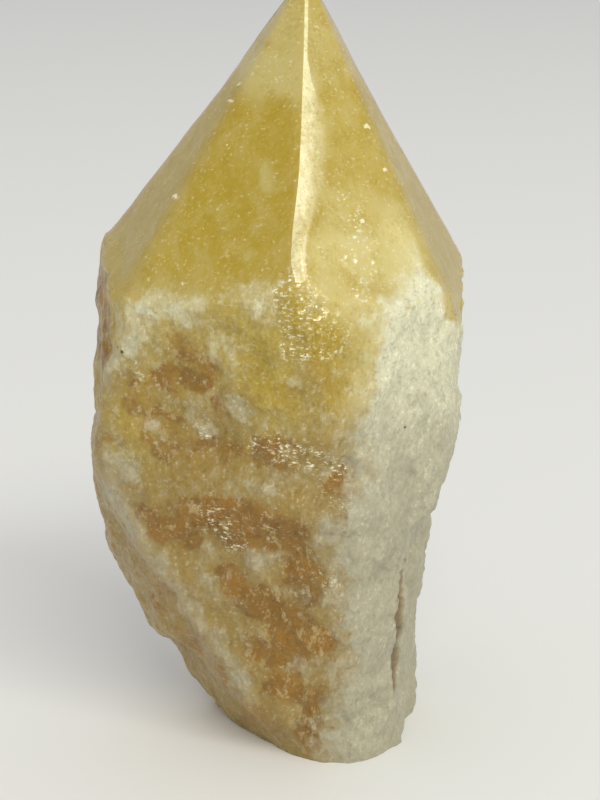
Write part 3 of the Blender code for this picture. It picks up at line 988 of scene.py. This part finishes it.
def calcite_material(settings, dirt):
    """Clear honey stone that light wanders in, under a white crust of its own."""
    material = bpy.data.materials.new("calcite")
    material.use_nodes = True
    material.node_tree.nodes.clear()
    stone = StoneTextures(material.node_tree)
    start, specks, broken = stone.start, stone.specks, stone.broken
    colour, flash = add_glints(stone, clear_colour(stone, settings))
    white = crust_colour(stone, settings)
    crack = stone.crack * (0.55 + 0.5 * specks)
    soil = soil_share(stone, dirt)
    colour = colour.under(CLEAR_CRACK, crack).under(SOIL, soil)
    white = white.under(CRUST_CRACK, crack).under(SOIL, soil)

    tilt = start.vector("SUBTRACT", stone.crystals, (0.5, 0.5, 0.5))
    amount = broken * (0.22 + 0.5 * stone.glint)
    tilt = start.node("ShaderNodeVectorMath", {"operation": "SCALE"}, {0: tilt, "Scale": amount})
    flat_normal = start.node("ShaderNodeNewGeometry", output="Normal")
    tilted = start.vector("NORMALIZE", start.vector("ADD", flat_normal, tilt))
    clear_height = specks * 0.7 * broken + (specks * 0.06 + stone.sugar * 0.04) * stone.ground
    crust_height = stone.fibres * 0.7 + specks * 0.9 + stone.curds * 1.4
    tip_roughness = stone.ground * (settings.polish + 0.2 * (specks - 0.5))
    side_roughness = broken * (0.2 + 0.22 * specks)
    clear = start.node(
        "ShaderNodeBsdfPrincipled", None,
        {
            "Base Color": colour, "Metallic": flash * 0.5, "IOR": 1.66, "Specular IOR Level": 0.34,
            "Roughness": tip_roughness + side_roughness + stone.haze * 0.1 + stone.wear * 0.12,
            "Normal": start.bump(0.5, 0.2 * MM, clear_height, tilted), "Subsurface Weight": 0.6,
            "Subsurface Radius": (1.0, 0.6, 0.2), "Subsurface Scale": settings.glow_depth,
        },
    )
    sugary = start.node(
        "ShaderNodeBsdfPrincipled", None,
        {
            "Base Color": white, "Roughness": 0.38 + 0.3 * specks, "IOR": 1.5,
            "Normal": start.bump(0.6, 0.3 * MM, crust_height, tilted), "Subsurface Weight": 0.2,
            "Subsurface Radius": (1.0, 0.9, 0.6), "Subsurface Scale": 1.5 * MM,
        },
    )
    both = start.node("ShaderNodeMixShader", None, {0: crust_share(stone), 1: clear, 2: sugary})
    start.node("ShaderNodeOutputMaterial", None, {"Surface": both}, None)
    return material


class CALCITE_OT_stone(bpy.types.Operator):
    """Make the stone with its ground tip, broken sides and crust"""

    bl_idname = "calcite.stone"
    bl_label = "Make stone"

    def execute(self, context):
        settings = context.scene.calcite
        stone, dirt = make_stone(settings)
        stone.data.materials.append(calcite_material(settings, dirt))
        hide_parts(NODE)
        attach(stone, "root")
        return {"FINISHED"}


def plain_material(name, colour, roughness):
    material = bpy.data.materials.new(name)
    material.use_nodes = True
    shader = material.node_tree.nodes["Principled BSDF"]
    shader.inputs["Base Color"].default_value = colour
    shader.inputs["Roughness"].default_value = roughness
    return material


def direction(azimuth, elevation):
    """A direction from the stone: azimuth 0 is towards the front, 90 to the right, in degrees."""
    turn, rise = math.radians(azimuth), math.radians(elevation)
    return Vector((math.sin(turn) * math.cos(rise), -math.cos(turn) * math.cos(rise), math.sin(rise)))


class CALCITE_OT_stage(bpy.types.Operator):
    """Make the pale floor, the soft lights, the room light and the camera"""

    bl_idname = "calcite.stage"
    bl_label = "Make stage"

    def execute(self, context):
        settings = context.scene.calcite_stage
        scene = context.scene
        data = bpy.data.meshes.new("floor")
        mesh = bmesh.new()
        bmesh.ops.create_circle(mesh, cap_ends=True, segments=96, radius=settings.floor_size / 2)
        mesh.to_mesh(data)
        mesh.free()
        floor = bpy.data.objects.new("floor", data)
        floor.location.z = -FLOOR_GAP
        floor.data.materials.append(plain_material("floor", FLOOR_COLOUR, FLOOR_ROUGHNESS))
        scene.collection.objects.link(floor)

        data = bpy.data.lights.new("key", "AREA")
        data.shape = "RECTANGLE"
        data.size, data.size_y = KEY_SIZE
        data.energy = settings.key_power
        data.color = KEY_COLOUR
        key = bpy.data.objects.new("key", data)
        towards = direction(*KEY_DIRECTION)
        key.location = VIEW_AIM + towards * KEY_DISTANCE
        key.rotation_mode = "QUATERNION"
        key.rotation_quaternion = towards.to_track_quat("Z", "Y")
        scene.collection.objects.link(key)

        world = bpy.data.worlds.new("room")
        world.use_nodes = True
        background = world.node_tree.nodes["Background"]
        background.inputs["Color"].default_value = (1.0, 1.0, 1.0, 1.0)
        background.inputs["Strength"].default_value = settings.room_light
        scene.world = world
        scene.view_settings.view_transform = "Standard"

        lens = bpy.data.cameras.new("camera")
        lens.lens = settings.lens
        lens.sensor_width = 36.0
        lens.clip_start, lens.clip_end = 0.01, 20.0
        camera = bpy.data.objects.new("camera", lens)
        camera.location = VIEW_EYE
        camera.rotation_euler = (math.pi / 2 - VIEW_ELEVATION, 0.0, 0.0)
        scene.collection.objects.link(camera)
        scene.camera = camera
        return {"FINISHED"}


class CALCITE_PT_panel(bpy.types.Panel):
    """Sizes, colours and lights of the calcite point"""

    bl_idname = "CALCITE_PT_panel"
    bl_label = "Orange Calcite Point"
    bl_space_type = "VIEW_3D"
    bl_region_type = "UI"
    bl_category = "Calcite"

    def draw(self, context):
        layout = self.layout
        for settings, operator in (
            (context.scene.calcite, "calcite.stone"),
            (context.scene.calcite_stage, "calcite.stage"),
        ):
            column = layout.column(align=True)
            for name in settings.__annotations__:
                column.prop(settings, name)
            layout.operator(operator)


CLASSES = (CalciteSettings, StageSettings, CALCITE_OT_stone, CALCITE_OT_stage, CALCITE_PT_panel)


def register():
    for made in CLASSES:
        bpy.utils.register_class(made)
    bpy.types.Scene.calcite = PointerProperty(type=CalciteSettings)
    bpy.types.Scene.calcite_stage = PointerProperty(type=StageSettings)


def unregister():
    del bpy.types.Scene.calcite_stage
    del bpy.types.Scene.calcite
    for made in reversed(CLASSES):
        bpy.utils.unregister_class(made)


def main():
    register()
    bpy.ops.calcite.stone()
    bpy.ops.calcite.stage()


if __name__ == "__main__":
    main()
